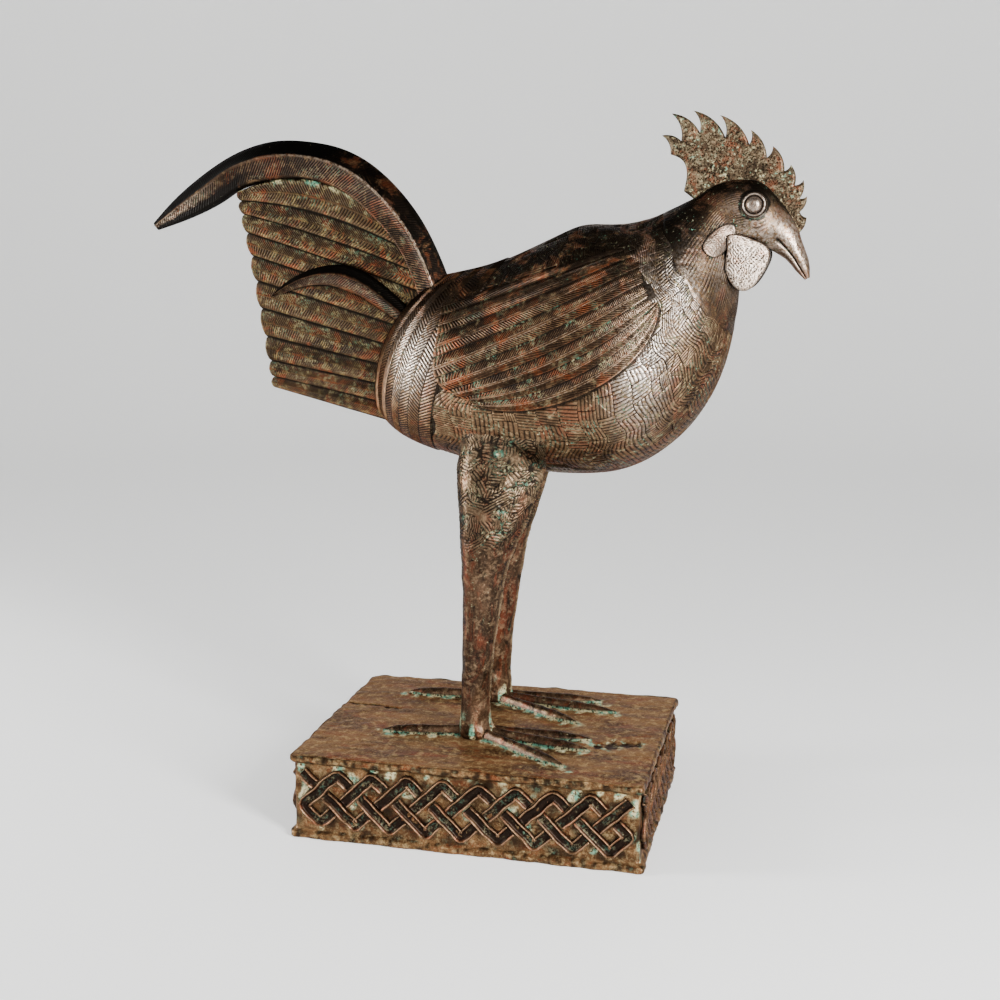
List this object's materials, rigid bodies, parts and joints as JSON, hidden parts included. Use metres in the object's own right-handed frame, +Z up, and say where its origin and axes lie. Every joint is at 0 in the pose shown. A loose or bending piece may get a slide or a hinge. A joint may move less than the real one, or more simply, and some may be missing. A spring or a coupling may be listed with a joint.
{
  "type": "bronze rooster figure",
  "caption": "Cast bronze rooster standing on a rectangular plinth, with a fan tail, sickle feathers, folded wings, flame-like comb and plaited bands round the plinth.",
  "frame": {"origin": "middle of the plinth's underside, which is the face the figure stands on", "axes": "+X the way the beak points, along the plinth's long side; +Y away from the side that is seen first, across the plinth; +Z up, with the comb at the top"},
  "size_m": [0.4778, 0.188, 0.4973],
  "materials": {
    "rooster_bronze": null,
    "plinth_bronze": null
  },
  "bodies": {
    "root": {"rooster": "rooster_bronze", "plinth": "plinth_bronze"}
  },
  "joints": []
}
